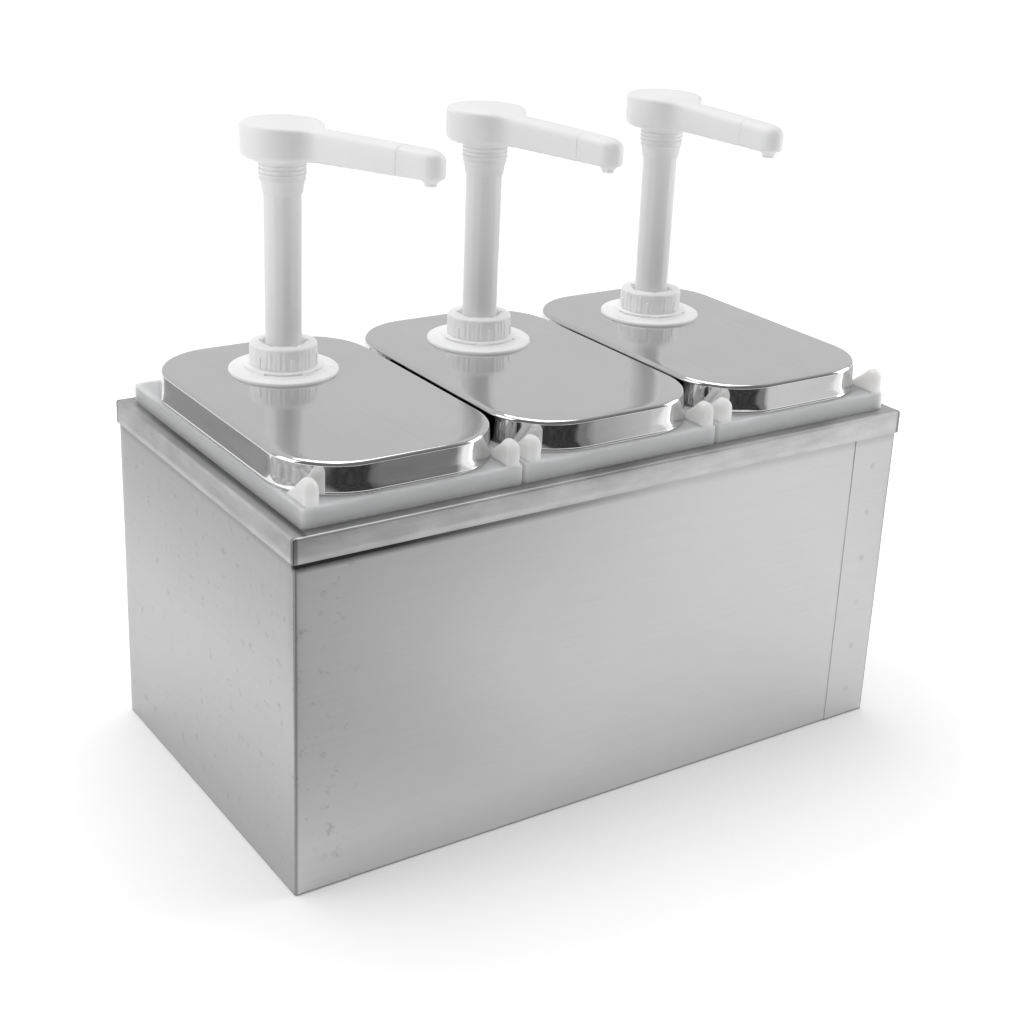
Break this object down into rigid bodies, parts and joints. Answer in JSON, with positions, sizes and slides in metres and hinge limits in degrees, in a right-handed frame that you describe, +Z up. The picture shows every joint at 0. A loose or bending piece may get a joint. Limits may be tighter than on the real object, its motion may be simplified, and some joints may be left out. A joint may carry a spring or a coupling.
{
  "type": "condiment pump dispenser",
  "caption": "Countertop condiment station: a sheet-metal case with lift-out plastic tubs, steel lids and sprung hand pumps with swivelling spouts.",
  "frame": {"origin": "middle of the underside of the case", "axes": "+Z up, front of the case towards -Y, +X to the right seen from the front"},
  "size_m": [0.44, 0.247, 0.403],
  "materials": {
    "case_steel": "satin",
    "weld_steel": "satin",
    "lid_steel": "polished",
    "tub_plastic": "satin",
    "pump_plastic": "satin",
    "barrel_plastic": "satin",
    "spring_steel": "drawn wire",
    "valve_steel": "polished",
    "seal_rubber": "matte"
  },
  "bodies": {
    "case": {"base_panel": "case_steel", "front_panel": "case_steel", "back_panel": "case_steel", "left_side_panel": "case_steel", "right_side_panel": "case_steel", "top_frame": "case_steel", "spot_welds": "weld_steel"},
    "left_tub": {"left_tub": "tub_plastic"},
    "left_pump_body": {"left_lid": "lid_steel", "left_pump_seat": "pump_plastic", "left_retaining_nut": "pump_plastic", "left_neck_gasket": "seal_rubber", "left_collar_nut": "pump_plastic", "left_guide_bush": "pump_plastic", "left_pump_cylinder": "barrel_plastic", "left_dip_tube": "barrel_plastic", "left_return_spring": "spring_steel"},
    "left_piston": {"left_piston": "barrel_plastic", "left_piston_seal": "seal_rubber"},
    "left_plunger": {"left_stem": "pump_plastic", "left_pump_head": "pump_plastic", "left_spout_tip": "pump_plastic"},
    "left_inlet_ball": {"left_inlet_ball": "valve_steel"},
    "left_discharge_ball": {"left_discharge_ball": "valve_steel"},
    "middle_tub": {"middle_tub": "tub_plastic"},
    "middle_pump_body": {"middle_lid": "lid_steel", "middle_pump_seat": "pump_plastic", "middle_retaining_nut": "pump_plastic", "middle_neck_gasket": "seal_rubber", "middle_collar_nut": "pump_plastic", "middle_guide_bush": "pump_plastic", "middle_pump_cylinder": "barrel_plastic", "middle_dip_tube": "barrel_plastic", "middle_return_spring": "spring_steel"},
    "middle_piston": {"middle_piston": "barrel_plastic", "middle_piston_seal": "seal_rubber"},
    "middle_plunger": {"middle_stem": "pump_plastic", "middle_pump_head": "pump_plastic", "middle_spout_tip": "pump_plastic"},
    "middle_inlet_ball": {"middle_inlet_ball": "valve_steel"},
    "middle_discharge_ball": {"middle_discharge_ball": "valve_steel"},
    "right_tub": {"right_tub": "tub_plastic"},
    "right_pump_body": {"right_lid": "lid_steel", "right_pump_seat": "pump_plastic", "right_retaining_nut": "pump_plastic", "right_neck_gasket": "seal_rubber", "right_collar_nut": "pump_plastic", "right_guide_bush": "pump_plastic", "right_pump_cylinder": "barrel_plastic", "right_dip_tube": "barrel_plastic", "right_return_spring": "spring_steel"},
    "right_piston": {"right_piston": "barrel_plastic", "right_piston_seal": "seal_rubber"},
    "right_plunger": {"right_stem": "pump_plastic", "right_pump_head": "pump_plastic", "right_spout_tip": "pump_plastic"},
    "right_inlet_ball": {"right_inlet_ball": "valve_steel"},
    "right_discharge_ball": {"right_discharge_ball": "valve_steel"}
  },
  "joints": [
    {"name": "left_tub_lift", "type": "slide", "parent": "case", "child": "left_tub", "axis": [0, 0, 1], "range_m": [0, 0.21]},
    {"name": "left_lid_lift", "type": "slide", "parent": "left_tub", "child": "left_pump_body", "axis": [0, 0, 1], "range_m": [0, 0.23]},
    {"name": "left_pump_press", "type": "slide", "parent": "left_pump_body", "child": "left_piston", "axis": [0, 0, -1], "range_m": [0, 0.098], "stiffness_N_per_m": 110, "springref_m": -0.06, "deforming": ["left_return_spring"]},
    {"name": "left_head_swivel", "type": "hinge", "parent": "left_piston", "child": "left_plunger", "pos_m": [-0.141, 0.0465, 0.39], "axis": [0, 0, 1], "continuous": true},
    {"name": "left_inlet_ball_lift", "type": "slide", "parent": "left_pump_body", "child": "left_inlet_ball", "axis": [0, 0, 1], "range_m": [0, 0.003]},
    {"name": "left_discharge_ball_lift", "type": "slide", "parent": "left_piston", "child": "left_discharge_ball", "axis": [0, 0, 1], "range_m": [0, 0.003]},
    {"name": "middle_tub_lift", "type": "slide", "parent": "case", "child": "middle_tub", "axis": [0, 0, 1], "range_m": [0, 0.21]},
    {"name": "middle_lid_lift", "type": "slide", "parent": "middle_tub", "child": "middle_pump_body", "axis": [0, 0, 1], "range_m": [0, 0.23]},
    {"name": "middle_pump_press", "type": "slide", "parent": "middle_pump_body", "child": "middle_piston", "axis": [0, 0, -1], "range_m": [0, 0.098], "stiffness_N_per_m": 110, "springref_m": -0.06, "deforming": ["middle_return_spring"]},
    {"name": "middle_head_swivel", "type": "hinge", "parent": "middle_piston", "child": "middle_plunger", "pos_m": [0, 0.0465, 0.39], "axis": [0, 0, 1], "continuous": true},
    {"name": "middle_inlet_ball_lift", "type": "slide", "parent": "middle_pump_body", "child": "middle_inlet_ball", "axis": [0, 0, 1], "range_m": [0, 0.003]},
    {"name": "middle_discharge_ball_lift", "type": "slide", "parent": "middle_piston", "child": "middle_discharge_ball", "axis": [0, 0, 1], "range_m": [0, 0.003]},
    {"name": "right_tub_lift", "type": "slide", "parent": "case", "child": "right_tub", "axis": [0, 0, 1], "range_m": [0, 0.21]},
    {"name": "right_lid_lift", "type": "slide", "parent": "right_tub", "child": "right_pump_body", "axis": [0, 0, 1], "range_m": [0, 0.23]},
    {"name": "right_pump_press", "type": "slide", "parent": "right_pump_body", "child": "right_piston", "axis": [0, 0, -1], "range_m": [0, 0.098], "stiffness_N_per_m": 110, "springref_m": -0.06, "deforming": ["right_return_spring"]},
    {"name": "right_head_swivel", "type": "hinge", "parent": "right_piston", "child": "right_plunger", "pos_m": [0.141, 0.0465, 0.39], "axis": [0, 0, 1], "continuous": true},
    {"name": "right_inlet_ball_lift", "type": "slide", "parent": "right_pump_body", "child": "right_inlet_ball", "axis": [0, 0, 1], "range_m": [0, 0.003]},
    {"name": "right_discharge_ball_lift", "type": "slide", "parent": "right_piston", "child": "right_discharge_ball", "axis": [0, 0, 1], "range_m": [0, 0.003]}
  ]
}
